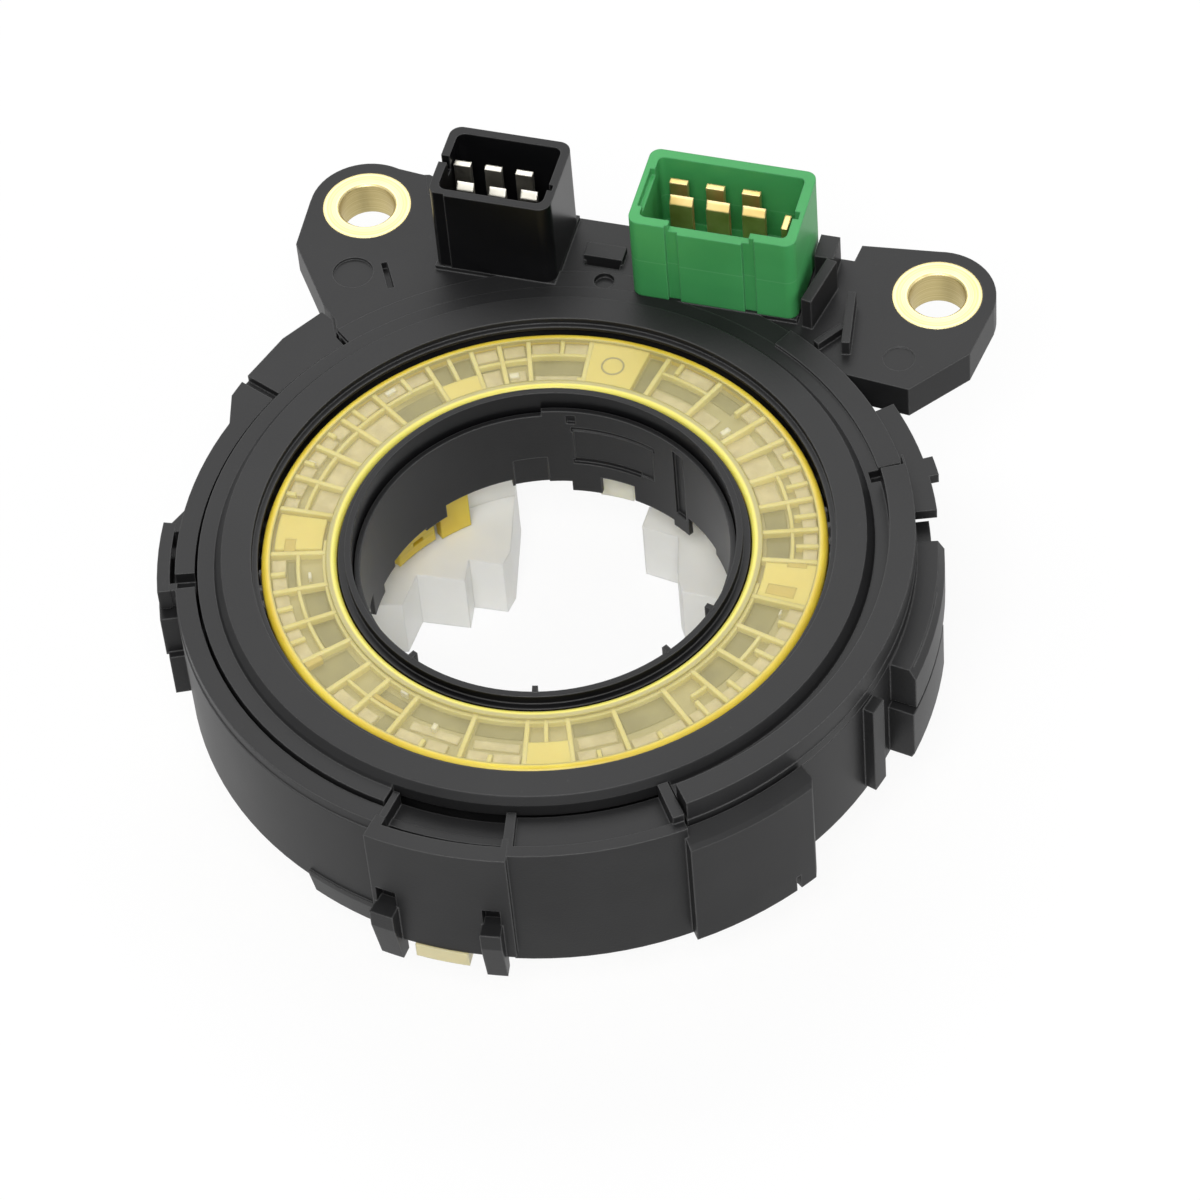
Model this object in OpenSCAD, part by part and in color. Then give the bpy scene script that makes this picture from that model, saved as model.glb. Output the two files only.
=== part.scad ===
/* [Bore] */
// Radius of the column passage
bore_r = 22.9; // [22.5:0.1:23.1]
// Wall of the bore liner
liner_t = 0.7; // [0.6:0.05:0.75]
// Wall of the hub sleeve
hub_t = 1.7; // [1.5:0.05:1.8]
// Width of the raised lip on the hub sleeve
lip_w = 0.8; // [0.6:0.05:1]
// Slip fit between nested tubes of the rotor
nest_gap = 0.15; // [0.1:0.01:0.2]

/* [Rear cover] */
// Height of the rim above the front face of the ears
rim_z = 7.2; // [7:0.05:7.4]
// Width of the flat top of the rim
rim_w = 3.7; // [3.4:0.1:4]
// Height of the ledge round the rim
ledge_z = 5.7; // [5.6:0.05:5.8]
// Thickness of the cover's top wall
deck_t = 1.5; // [1.3:0.05:1.6]
// Thickness of the mounting ears
ear_t = 5; // [4.9:0.05:5.1]
// Height of the raised band on the right
band_z = 8.2; // [8:0.05:8.4]
// Gap between the rotor ring and the rim
rim_gap = 1; // [0.8:0.1:1.1]

/* [Ears] */
// Distance between the two screw bushes
hole_pitch = 76; // [75.6:0.1:76.4]
// Distance of the bushes from the bore axis
hole_y = 50.85; // [50.6:0.05:51.1]
// Radius of the clear hole in a bush
hole_r = 3.6; // [3.3:0.05:3.7]
// Outer radius of a bush
bush_r = 5.8; // [5.6:0.05:5.9]
// Radius of an ear about its bush
ear_r = 7.5; // [7.3:0.05:7.8]

/* [Drum] */
// Outer radius of the round wall
drum_r = 45.8; // [45.7:0.05:45.9]
// Thickness of the round wall
drum_t = 1.9; // [1.8:0.05:2]
// Lower edge of the round wall
drum_low_z = -13.3; // [-13.5:0.05:-13.2]
// Gap of the seam between cover and drum
seam_gap = 0.4; // [0.3:0.05:0.5]
// Thickness of the floor that carries the gears
floor_t = 1.2; // [1:0.05:1.3]
// Half width of the sensor bay
bay_x = 27.5; // [27.3:0.1:27.8]
// Back face of the sensor bay
bay_y = 54.4; // [54.2:0.1:54.6]

/* [Rotor] */
// Outer radius of the amber ring
ring_r = 35; // [34.9:0.05:35.1]
// Depth of the amber ring's top below the rim
ring_drop = 1.5; // [1.4:0.05:1.6]
// Thickness of the amber ring's skin
skin_t = 0.7; // [0.6:0.05:0.8]
// Depth of the ribs under the skin
rib_h = 2.1; // [1.9:0.1:2.2]
// Thickness of a rib
rib_t = 0.45; // [0.4:0.05:0.55]
// Thickness of the white front plate
plate_t = 1.5; // [1.4:0.05:1.6]
// Front face of the towers and drive pins
tower_z = -27.5; // [-28:0.1:-27]
// Radius of a drive pin
drive_pin_r = 2.5; // [2.2:0.1:2.8]
// Distance of the drive pins from the bore axis
drive_pin_pcr = 34; // [33.5:0.1:34.5]

/* [Gears] */
// Size of the teeth, pitch diameter over number of teeth
gear_module = 0.8; // [0.79:0.005:0.805]
// Teeth of the drive gear
drive_teeth = 88; // [88:88]
// Teeth of the first measuring gear
teeth_a = 22; // [22:22]
// Teeth of the second measuring gear
teeth_b = 20; // [20:20]
// Thickness of the gears
gear_t = 2; // [1.8:0.05:2.1]
// Direction of the first measuring gear from the bore axis
angle_a = 103; // [102.5:0.1:103.5]
// Direction of the second measuring gear from the bore axis
angle_b = 77; // [76.5:0.1:77.5]
// Tooth play at the pitch circle
backlash = 0.14; // [0.1:0.01:0.2]

/* [Headers] */
// Height of the header rims
header_z = 19.25; // [19:0.05:19.4]
// Height of the blade tips
blade_z = 17.15; // [17:0.05:17.4]
// Wall of the black header
black_wall = 1.1; // [1:0.05:1.2]
// Wall of the green header
green_wall = 1.3; // [1.2:0.05:1.4]
// Thickness of the blades
blade_t = 0.8; // [0.7:0.05:0.9]

/* [Hidden] */
$fn = 96;
drum_seam = 215;
merge = 0.4;
over = 1;
fit = 0.1;

hub_r = bore_r + liner_t + nest_gap;
hub_out = hub_r + hub_t;
core_r = hub_out + nest_gap;
core_t = 1.2;
core_out = core_r + core_t;
stand_r = core_out + nest_gap;
stand_t = 1.2;
stand_out = stand_r + stand_t;
lip_z = rim_z - 0.35;
hub_z = rim_z - 1.7;
liner_low_z = -8;
liner_top_z = 4.2;

ring_z = rim_z - ring_drop;
band_w = 1.4;
ring_low_z = ring_z - skin_t - rib_h;
rim_r = ring_r + rim_gap;
rim_out = rim_r + rim_w;
ledge_r = rim_out + 0.75;
seam_r = drum_r - 2.6;
ledge_out = seam_r - seam_gap;
deck_z = ear_t;
deck_low = deck_z - deck_t;
chamber_r = drum_r - drum_t;

floor_z = -2.2;
floor_low = floor_z - floor_t;
hook_z = -7.3;
floor_r = stand_out + 0.8;
gear_z = -1.6;
gear_top = gear_z + gear_t;
plate_z = -11.4;
plate_low = plate_z - plate_t;
plate_r = chamber_r - 1.1;
sheet_t = 0.2;

drive_pitch_r = gear_module * drive_teeth / 2;
pitch_a = gear_module * teeth_a / 2;
pitch_b = gear_module * teeth_b / 2;
centre_a = drive_pitch_r + pitch_a;
centre_b = drive_pitch_r + pitch_b;
post_r = 1.5;
post_h = 1.9;
hub_top = gear_top + 0.6;
magnet_r = 2.4;
magnet_h = 0.8;

board_t = 1.2;
board_z = 2.2;
chip_h = 0.8;
board_arc = rim_r + 2.2;

black_x = [-26.1, -10.1];
black_y = [42, 54.1];
green_x = [0, 21.7];
green_y = [42.4, 55.5];

// A full ring with a square section
module tube(r_in, r_out, z_low, z_high) {
  rotate_extrude() translate([r_in, z_low]) square([r_out - r_in, z_high - z_low]);
}

// A part of a ring from one angle to another
module arc(r_in, r_out, z_low, z_high, from, to) {
  rotate([0, 0, from])
    rotate_extrude(angle = to - from)
      translate([r_in, z_low]) square([r_out - r_in, z_high - z_low]);
}

// A part of a ring with its own section, from one angle to another
module arc_section(points, from, to) {
  rotate([0, 0, from]) rotate_extrude(angle = to - from) polygon(points);
}

// A point in the plane given by its radius and angle
function at(r, angle) = r * [cos(angle), sin(angle)];

// A flat part of a ring from one angle to another
module sector(r_in, r_out, from, to) {
  intersection() {
    difference() {
      circle(r = r_out);
      circle(r = r_in);
    }
    polygon([[0, 0], for (i = [0:4]) at(1.5 * r_out, from + (to - from) * i / 4)]);
  }
}

// A block given by its limits along each axis
module block(x, y, z) {
  translate([x[0], y[0], z[0]]) cube([x[1] - x[0], y[1] - y[0], z[1] - z[0]]);
}

// A block that stands on a radius, with its width across it
module radial_block(angle, r_in, r_out, width, z_low, z_high) {
  rotate([0, 0, angle]) translate([r_in, -width / 2, z_low]) cube([r_out - r_in, width, z_high - z_low]);
}

// A rectangle with rounded corners
module rounded(x, y, r) {
  translate([x[0] + r, y[0]]) square([x[1] - x[0] - 2 * r, y[1] - y[0]]);
  translate([x[0], y[0] + r]) square([x[1] - x[0], y[1] - y[0] - 2 * r]);
  for (px = [x[0] + r, x[1] - r], py = [y[0] + r, y[1] - r]) translate([px, py]) circle(r = r, $fn = 32);
}

// The gear teeth are involutes of a 20 degree rack
function involute(angle) = tan(angle) * 180 / PI - angle;
function base_r(pitch) = pitch * cos(20);
function flank(pitch, half, r) =
  half + involute(20) - involute(acos(min(1, base_r(pitch) / r)));
function tooth_points(pitch, teeth, add, ded) = [
  for (i = [0:teeth - 1])
    let (half = 90 / teeth - backlash / 4 / pitch * 180 / PI,
         root = pitch - ded,
         low = max(root + 0.02, base_r(pitch)),
         radii = [root, low, pitch, pitch + add / 2, pitch + add])
      for (side = [-1, 1], k = [0:len(radii) - 1])
        let (r = side < 0 ? radii[k] : radii[len(radii) - 1 - k],
             turn = flank(pitch, half, max(r, low)))
          r * [cos(360 * i / teeth + side * turn), sin(360 * i / teeth + side * turn)]
];
function mesh_phase(angle, teeth) =
  let (step = 360 / drive_teeth, offset = angle - step * round(angle / step))
    angle + 180 + offset * drive_teeth / teeth + 180 / teeth;

// Rear cover

ear_side = [
  [[26.7, 57.2], [37.4, 58.3], [45.5, 50.2], [44.2, 42], [38, 34.6], [24, 36]],
  [[-31.8, 57.6], [-38.6, 58.3], [-45.5, 50.2], [-45.1, 42.4], [-38.4, 32.8], [-36.3, 30.9], [-34.9, 28], [-24, 36]]
];

module ear_outline(points, side) {
  polygon(points);
  translate([side * hole_pitch / 2, hole_y]) circle(r = ear_r);
}

module ear(points, side) {
  difference() {
    linear_extrude(ear_t) ear_outline(points, side);
    translate([0, 0, -1]) cylinder(r = drum_r + fit, h = deck_low + 1);
    difference() {
      translate([0, 0, -over]) linear_extrude(ear_t - 2 + over) polygon([
        [side * 29, 48], [side * 29, 40], [side * 37, 36.8], [side * 42.6, 42.4], [side * 42.8, 46]
      ]);
      translate([side * hole_pitch / 2, hole_y]) cylinder(r = ear_r - 0.4, h = ear_t);
    }
  }
}

module rim_section() {
  polygon([
    [rim_r, 1], [rim_r + 1.2, 1], [rim_r + 1.2, ledge_z - 1.3], [ledge_out - 1.2, ledge_z - 1.3],
    [ledge_out - 1.2, 1.5], [ledge_out, 1.5], [ledge_out, ledge_z], [ledge_r + 0.3, ledge_z],
    [ledge_r, rim_z - 0.9], [rim_out, rim_z], [rim_r, rim_z], [rim_r, rim_z - 0.9],
    [rim_r - 0.7, rim_z - 0.9], [rim_r - 0.7, rim_z - 1.4], [rim_r, rim_z - 1.4]
  ]);
}

module deck_outline() {
  difference() {
    polygon([[-31.8, 36], [-31.8, bay_y], [27, bay_y], [27, 36]]);
    circle(r = ledge_out - 0.5);
  }
  sector(ledge_out - 0.5, drum_r, -53, 141);
  sector(ledge_out + 1, drum_r + 2.8, 19.5, 41);
  sector(ledge_out + 1, drum_r + 4, 26, 29.5);
}

module rear_cover() {
  color("#2f2f31") difference() {
    union() {
      rotate_extrude() rim_section();
      translate([0, 0, deck_low]) linear_extrude(deck_t) deck_outline();
      arc(ledge_out - 0.2, drum_r - 0.15, deck_low + 0.6, ledge_z + 0.4, 26, 62);
      arc(ledge_out - 0.3, drum_r - 0.2, deck_low + 0.6, ledge_z - 0.1, 61, 140.8);
      arc(ledge_out - 0.3, drum_r - 0.1, deck_low + 0.6, band_z, -52.8, 28);
      header_seats();
      for (i = [0, 1]) ear(ear_side[i], 1 - 2 * i);
      right_guide();
      block([-7.8, -2.6], [47.5, 49.8], [deck_low + 0.6, ledge_z + 0.3]);
    }
    block([-7.5, -2.9], [46.7, 47.5], [deck_z - 1, ledge_z + 1]);
    translate([-4.1, 44, deck_z - 0.2]) cylinder(r = 1.3, h = 2, $fn = 48);
    for (side = [-1, 1])
      translate([side * hole_pitch / 2, hole_y, -over]) cylinder(r = bush_r, h = ear_t + 2 * over);
    bay_pocket();
    arc(ledge_r, drum_r + over, -over, ledge_z + over, -101, -52.9);
    arc(ledge_out - 1.5, drum_r - 0.4, deck_z - 0.7, band_z + over, 26.1, 28.6);
    left_ear_marks();
    block([black_x[0] + 0.9, black_x[1] - 0.9], [44.6, 51.6], [0, ledge_z + 1]);
    block([green_x[0] + 2.2, green_x[1] - 2.2], [46, 53.4], [0, ledge_z + 1]);
  }
}

// Ejector marks, shallow recess and slots in the tops of the ears
module left_ear_marks() {
  translate([-36.4, 39.2, ear_t - 0.4]) cylinder(r = 2.6, h = 2, $fn = 64);
  translate([-33, 41.7, ear_t - 1.2]) rotate([0, 0, -61.8]) translate([0, -0.4, 0]) cube([4.6, 0.8, 3]);
  translate([35.65, 39.4, ear_t - 0.2]) cylinder(r = 2, h = 2, $fn = 64);
}

// The hollow under the deck that the board and gears lie in
module bay_pocket() {
  difference() {
    block([-bay_x - 0.6, bay_x + 0.6], [20, bay_y - 0.3], [-6, deck_low]);
    cylinder(r = rim_r + 1.2, h = 30, center = true);
  }
}

// The wall and the slanted rail beside the green header
module right_guide() {
  block([green_x[1] + 0.4, 24.6], [50.5, bay_y - 0.1], [deck_low + 0.6, 9.2]);
  translate([22.4, 42.2, deck_low + 0.6]) rotate([0, 0, -12]) cube([1.4, 7.6, 6]);
  translate([28.4, 38.6, deck_low + 0.6]) rotate([0, 0, 8]) cube([1.1, 8.6, 3.2]);
  translate([25.4, 38.6, deck_low + 0.5]) rotate([0, 0, 54]) cube([4.4, 0.9, 2.2]);
}

// Pads that the two headers stand on
module header_seats() {
  block(black_x, [black_y[0], bay_y - 0.2], [deck_low + 0.6, ledge_z]);
  block(green_x, [green_y[0], bay_y - 0.2], [deck_low + 0.6, ledge_z]);
}

// Drum housing

module drum_housing() {
  color("#343436") {
    difference() {
      union() {
        rotate([0, 0, drum_seam]) translate([0, 0, drum_low_z])
          cylinder(r = drum_r, h = deck_low - fit - drum_low_z);
        block([-bay_x - 0.5, bay_x + 0.5], [30, bay_y - 0.4], [floor_low, deck_low - 2 * fit]);
        translate([0, 0, 1]) linear_extrude(4.2) left_flange();
        left_latch();
        front_sections();
        right_step();
      }
      section_end();
      radial_block(157.3, seam_r - 0.3, drum_r + 3, 1.2, 4.2, 6);
      arc(drum_r - 1.5, drum_r + 0.2, -1.9, 7, -99.4, -80.9);
      arc(drum_r - 1.3, drum_r - 0.05, 4.4, 7, -79.2, -54.5);
      block([-bay_x + 1.6, bay_x - 1.6], [20, bay_y - 1.6], [floor_z, ledge_z]);
      rotate([0, 0, drum_seam]) drum_cavity();
      arc(chamber_r - 2.4, chamber_r - 0.2, floor_low - 1, floor_z + 1, 55, 63);
    }
    front_shelf();
    gear_post(centre_a, angle_a);
    gear_post(centre_b, angle_b);
  }
}

// Room for the cable below the floor and for the cover above it
module drum_cavity() {
  rotate_extrude() polygon([
    [0, -40], [chamber_r, -40], [chamber_r, floor_low], [floor_r, floor_low], [floor_r, floor_z], [seam_r, floor_z],
    [seam_r, 20], [0, 20]
  ]);
}

// Flange that widens the drum below the left ear, with a pocket behind the catch
module left_flange() {
  sector(seam_r - 1, drum_r - 0.15, 143, 197.6);
  sector(seam_r - 1, drum_r - 0.15, 200.5, 260);
  polygon([
    [-32, 25.2], [-35.25, 27.85], [-36.65, 30.7], [-38.3, 31.6], [-41.9, 26.2], [-44.8, 18.1], [-45.4, 15.6],
    [-44, 10], [-40, 10]
  ]);
}

// Spring arm on the left wall, over the stepped catch box
module left_latch() {
  translate([0, 0, 1.7]) linear_extrude(3.2)
    polygon([
      at(drum_r - 0.8, 181), at(drum_r - 0.5, 183.4), at(drum_r + 1.5, 188), at(drum_r + 1.2, 189),
      at(drum_r - 0.8, 188.4)
    ]);
  arc(drum_r + 0.5, drum_r + 2.1, 1.6, 5, 187.2, 200.6);
  arc(drum_r - 0.4, drum_r + 1, 1.8, 4.8, 199, 200.4);
  arc(drum_r - 0.6, drum_r + 2.3, -5.8, 1, 190, 202);
  arc(drum_r - 0.7, drum_r + 2, -12.4, -5.8 + merge, 191, 203.2);
}

module gear_post(distance, angle) {
  rotate([0, 0, angle]) translate([distance, 0, floor_low]) cylinder(r = post_r, h = floor_t + post_h, $fn = 48);
}

// Wall sections, foot and hooks of the front of the drum
module front_sections() {
  difference() {
    union() {
      arc(drum_r - 1, drum_r + 2.4, -13.8, 5.6, -101, -80);
      arc(drum_r - 1.1, drum_r + 1.5, -15.3, 5.5, -80.5, -53.5);
    }
    for (a = [[-100.3, -97.2], [-84.3, -81.7]])
      arc(drum_r + 0.9, drum_r + over + 2, hook_z - 0.5, hook_z + 2.8, a[0], a[1]);
  }
  arc_section([
    [drum_r - 0.9, -14.8], [drum_r + 3.1, -14.8], [drum_r + 3.1, 3.1], [drum_r + 2.5, 3.5], [drum_r + 0.3, 4.3],
    [drum_r + 0.3, 2.9], [drum_r - 0.9, 2.9]
  ], -54, -33);
  arc_section([
    [drum_r - 0.7, -16.8], [drum_r - 0.4, -16.8], [drum_r + 0.3, -12.8], [drum_r + 0.3, -12], [drum_r - 0.7, -12]
  ], -115, -100.5);
  for (a = [[-100.5, -97], [-84.5, -81.5]])
    arc_section([
      [drum_r + 1.2, -17.3], [drum_r + 2.8, -17.3], [drum_r + 4.2, -10], [drum_r + 4.2, hook_z],
      [drum_r + 1.2, hook_z]
    ], a[0], a[1]);
}

// Rounded end and foot notch of the last wall section
module section_end() {
  rotate([0, 0, -33]) translate([drum_r + 3.1, 0, -6]) rotate([0, 0, 45]) cube([1.3, 1.3, 24], center = true);
  arc(drum_r + 0.4, drum_r + 5, -16, -12.2, -37.6, -36.8);
}

// Shelf between the rim and the front wall, with two windows and a proud rib
module front_shelf() {
  difference() {
    arc(ledge_r + 0.3, drum_r - 0.6, 1.6, 5.4, -100.6, -54);
    front_windows();
  }
  arc(ledge_r + 0.25, drum_r + 0.2, 1.7, rim_z - 0.5, -55.2, -53.4);
}

module front_windows() {
  arc(ledge_r + 0.2, drum_r + 0.4, 3.2, 7, -99.5, -80.8);
  arc(drum_r - 1.5, drum_r + 0.2, -1.9, 7, -99.4, -80.9);
  arc(ledge_r + 0.2, drum_r - 0.05, 4.4, 7, -79.2, -54.5);
}

// Stepped latch blocks beside the raised band on the right
module right_step() {
  arc_section([
    [drum_r - 0.5, -3.8], [drum_r + 3.4, -3.8], [drum_r + 3.4, 1.5], [drum_r + 2.6, 3.1], [drum_r - 0.5, 3.1]
  ], -9, 15.5);
  arc_section([
    [drum_r - 0.6, -12.9], [drum_r + 3, -12.9], [drum_r + 3.4, -12], [drum_r + 3.4, -4.4], [drum_r - 0.6, -4.4]
  ], -10, 7);
  arc(drum_r - 0.7, drum_r + 2.8, -12, 2.9, -8, 6);
  arc(drum_r - 0.8, drum_r + 1.5, -12.6, 2.7, -18, -15);
  arc(drum_r - 0.4, drum_r + 1.8, -4, 2.5, 15, 20);
}

module front_cover() {
  color("#ece3b4") {
    tube(drum_r - 4.6, drum_r - 1.2, drum_low_z - 1, drum_low_z);
    arc(drum_r - 1.4, drum_r + 2.6, -16.2, drum_low_z - 0.6, -95, -87);
  }
}

module bush(side) {
  color("#e2cf94") translate([side * hole_pitch / 2, hole_y, 0]) difference() {
    cylinder(r = bush_r - 0.05, h = ear_t);
    translate([0, 0, -1]) cylinder(r = hole_r, h = ear_t + 2);
    translate([0, 0, ear_t - 0.25]) cylinder(r1 = hole_r, r2 = hole_r + 0.3, h = 0.3);
  }
}

module bush_left() { bush(-1); }
module bush_right() { bush(1); }

// Headers

module header_box(x, y, z_low, wall, floor_h, corner) {
  difference() {
    translate([0, 0, z_low]) linear_extrude(header_z - z_low) rounded(x, y, corner);
    translate([0, 0, z_low + floor_h]) linear_extrude(header_z)
      rounded([x[0] + wall, x[1] - wall], [y[0] + wall, y[1] - wall], corner - wall / 2);
  }
}

black_pins = [[-23.7, 49.8], [-19.6, 49.8], [-15.5, 49.8], [-22.4, 46.3], [-18.1, 46.2], [-14, 46.5]];
green_pins = [[4.2, 52.4], [9, 52.4], [13.7, 52.4], [5.2, 49.6], [10, 49.6], [14.7, 49.6]];

// A blade with its tail through the board
module blade(x, y, width, top, slope) {
  translate([x - width / 2, y, 0]) rotate([90, 0, 90]) linear_extrude(width) polygon([
    [-blade_t / 2, deck_z + 1], [blade_t / 2, deck_z + 1], [blade_t / 2, top], [-blade_t / 2, top - slope]
  ]);
  block([x - 0.3, x + 0.3], [y - 0.3, y + 0.3], [board_z - 0.6, deck_z + 1]);
}

module blade_slots(pins, width) {
  for (p = pins)
    block([p[0] - width / 2 - fit, p[0] + width / 2 + fit], [p[1] - blade_t / 2 - fit, p[1] + blade_t / 2 + fit],
          [0, deck_z + 4]);
}

module black_header() {
  color("#1d1d1f") difference() {
    header_box(black_x, black_y, ledge_z, black_wall, 2, 1.6);
    blade_slots(black_pins, 2.2);
    block([black_x[0] - 1, black_x[0] + black_wall + merge], [47.6, 48.8], [header_z - 2.5, header_z + 1]);
    block([black_x[1] - black_wall - merge, black_x[1] - 0.5], [45.6, 46.6], [ledge_z + 3, header_z + 1]);
    block([black_x[0] - 1, black_x[0] + 2.2], [black_y[0] - 1, black_y[0] + 0.3], [ledge_z - 1, header_z + 1]);
  }
}

module black_header_pins() {
  color("#c9c6bd") for (i = [0:5]) blade(black_pins[i][0], black_pins[i][1], 2.2, blade_z, i < 3 ? 0.05 : 0.8);
}

module green_header() {
  color("#3fa35f") difference() {
    header_box(green_x, green_y, ledge_z, green_wall, 2, 1.4);
    blade_slots(green_pins, 3);
    block([5.3, 15.8], [green_y[0] - 1, green_y[0] + green_wall + 1], [header_z - 1, header_z + 1]);
    for (x = [4.9, 14.9]) block([x, x + 1.6], [green_y[0] - 1, green_y[0] + 0.4], [ledge_z - 1, header_z + 1]);
    block([green_x[1] - green_wall - merge, green_x[1] - 0.6], [47.2, 48.5], [ledge_z + 3, header_z + 1]);
    block([green_x[0] + 0.7, green_x[0] + green_wall + merge], [45.4, 52], [header_z - 1.2, header_z + 1]);
  }
}

module green_header_pins() {
  color("#d9b768") for (i = [0:5]) blade(green_pins[i][0], green_pins[i][1], i < 3 ? 2.35 : 3, blade_z, i < 3 ? 0.05 : 1);
}

module green_side_contact() {
  color("#d9b768") block([18.6, 19.4], [48, 50.4], [ledge_z + 2, blade_z - 1]);
}

// Sensing

module sensor_board() {
  color("#2d6b3f") difference() {
    block([-bay_x + 2, bay_x - 2], [34, bay_y - 2.4], [board_z, board_z + board_t]);
    cylinder(r = board_arc, h = 20, center = true);
    for (p = concat(black_pins, green_pins)) translate([p[0], p[1], 0]) cylinder(r = 0.6, h = 10, $fn = 24);
  }
}

module chip(x, y, size) {
  translate([x - size[0] / 2, y - size[1] / 2, board_z - chip_h]) cube([size[0], size[1], chip_h]);
}

module sensor_chips() {
  color("#1c1c1e") {
    for (g = [[centre_a, angle_a], [centre_b, angle_b]]) chip(g[0] * cos(g[1]), g[0] * sin(g[1]), [5, 4]);
    chip(0, 47, [5, 7]);
  }
}

// Flat cable and its ends

cable_in = stand_out + 1.6;
cable_out = chamber_r - 1.5;
cable_turns = 9;
cable_t = 0.25;

function spiral(from, to, turns) = [
  for (i = [0:turns * 24]) let (r = from + (to - from) * i / (turns * 24)) r * [cos(15 * i), sin(15 * i)]
];

module flat_cable() {
  outer = spiral(cable_in, cable_out, cable_turns);
  inner = spiral(cable_in - cable_t, cable_out - cable_t, cable_turns);
  count = len(inner);
  color("#b98a4a") rotate([0, 0, 59]) translate([0, 0, plate_z + 0.5])
    linear_extrude(floor_low - plate_z - 0.9)
      polygon(concat(outer, [for (i = [0:count - 1]) inner[count - 1 - i]]));
}

module upper_slip_sheet() {
  color("#e9e6dc") tube(floor_r + 0.3, cable_out - 1, floor_low - sheet_t, floor_low);
}

module lower_slip_sheet() {
  color("#e9e6dc") tube(stand_out + 0.1, plate_r - 0.4, plate_z, plate_z + sheet_t);
}

module terminal_carrier() {
  color("#d8d2c0") {
    block([19.5, 25], [40.5, 47], [floor_z, 1.6]);
    arc(cable_out + 0.05, chamber_r - 0.3, plate_z + 0.5, floor_z + 1.5, 56.5, 61.5);
    arc(cable_out + 0.2, 47.5, floor_z, floor_z + 1.4, 58, 61.3);
  }
}

module cable_clip() {
  color("#d8d2c0") arc(stand_out + 0.05, cable_in - 0.6, plate_z + sheet_t + 0.1, floor_low - 0.6, 70, 84);
}

// Rotor

full_ribs = [25, 35, 43, 51, 64, 77, 82, 95, 109, 115, 121, 132, 145, 163, 173, 182, 194, 205, 215, 225,
             234, 242, 251, 268, 281, 291, 303, 317, 327, 336, 345, 356, 8, 16];
outer_ribs = [30, 39, 56, 73, 101, 126, 138, 151, 155, 168, 200, 210, 219, 260, 274, 297, 310, 321, 330,
              341, 11];
pads = [[82, 95, 27, 34], [121, 132, 27, 30], [173, 182, 29, 34], [281, 291, 30.5, 34], [-4, 8, 27, 34]];

module ring_ribs() {
  intersection() {
    union() {
      for (a = full_ribs) rotate(a) translate([core_r, -rib_t / 2]) square([ring_r - core_r, rib_t]);
      for (a = outer_ribs) rotate(a) translate([30.5, -rib_t / 2]) square([ring_r - 30.5, rib_t]);
      ring_face(30.3, 30.7);
      ring_face(ring_r - band_w, ring_r);
      ring_face(core_r, core_r + band_w);
      for (p = pads) intersection() {
        ring_face(p[2], p[3]);
        polygon([[0, 0], 60 * [cos(p[0]), sin(p[0])], 60 * [cos(p[1]), sin(p[1])]]);
      }
    }
    ring_face(core_r, ring_r);
  }
}

module ring_face(r_in, r_out) {
  difference() {
    circle(r = r_out);
    circle(r = r_in);
  }
}

module rotor_ring() {
  color("#e6cf5c") {
    tube(core_r, ring_r, ring_z - skin_t, ring_z);
    translate([0, 0, ring_low_z]) linear_extrude(rib_h) ring_ribs();
    tube(ring_r - band_w, ring_r, gear_top + fit, ring_low_z + merge);
    tube(core_r, core_out, -10, ring_low_z + merge);
    tube(hub_r + 1, core_r + merge, liner_low_z - 0.6, liner_low_z + 0.4);
    snap_tab(142.6, 156.6, -16.9);
    snap_tab(130.8, 140.4, -17.6);
    snap_tab(81.8, 91.8, -14.7);
    snap_tab(-40, -30, -15.1);
    snap_tab(-95, -85, -15.1);
  }
}

// A tab that reaches through the plate and hooks under it
module snap_tab(from, to, low) {
  arc(core_r, core_out, low, -10 + merge, from, to);
  arc(core_out - merge, core_out + 1.2, plate_low - 1.2, plate_low - fit, from + 2, to - 2);
}

module hub_sleeve() {
  color("#29292b") {
    tube(hub_r, hub_out, liner_low_z + 0.4, hub_z);
    tube(hub_r, hub_r + lip_w, hub_z - merge, lip_z);
    for (a = [-117, -77, -35, -15]) radial_block(a, hub_r - 0.8, hub_r + 0.2, 0.7, 4.6, lip_z + 0.15);
  }
}

// Lower edge of the liner, as the angle where each step starts and its height
sleeve_steps = [
  [29, -9.3], [40.5, -8.3], [56, -11.8], [63, -10.8], [78, -8], [89, -11.1], [99, -9.3], [118, -8.1], [141, -10.3],
  [150, -9.8], [166, -10.8], [174, -12.3], [184, -8], [389, -8]
];

module inner_sleeve() {
  color("#262628") difference() {
    tube(bore_r, bore_r + liner_t, -14, liner_top_z);
    for (i = [0:len(sleeve_steps) - 2])
      arc(bore_r - over, bore_r + liner_t + over, -15, sleeve_steps[i][1], sleeve_steps[i][0] - 0.2, sleeve_steps[i + 1][0] + 0.2);
    sleeve_reliefs();
  }
}

// Sunk panel with its slots, groove and recess in the far wall of the liner
module sleeve_reliefs() {
  arc(bore_r - over, bore_r + 0.25, -5.3, 0.7, 70, 97);
  arc(bore_r - over, bore_r + 0.5, 0.3, 1.3, 69, 97.6);
  arc(bore_r - over, bore_r + 0.5, -5.8, -4.9, 75, 97.7);
  arc(bore_r - over, bore_r + 0.5, 1.9, 3.5, 96, 98.9);
  arc(bore_r - over, bore_r + 0.45, -9.1, 3, 57, 61.5);
  arc(bore_r - over, bore_r + 0.2, -12, -4.6, 106, 117);
  arc(bore_r - over, bore_r + liner_t + over, liner_top_z - 0.8, liner_top_z + over, 106.6, 205);
}

module gear_outline(pitch, teeth) {
  polygon(tooth_points(pitch, teeth, 0.9 * gear_module, 1.15 * gear_module));
}

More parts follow.
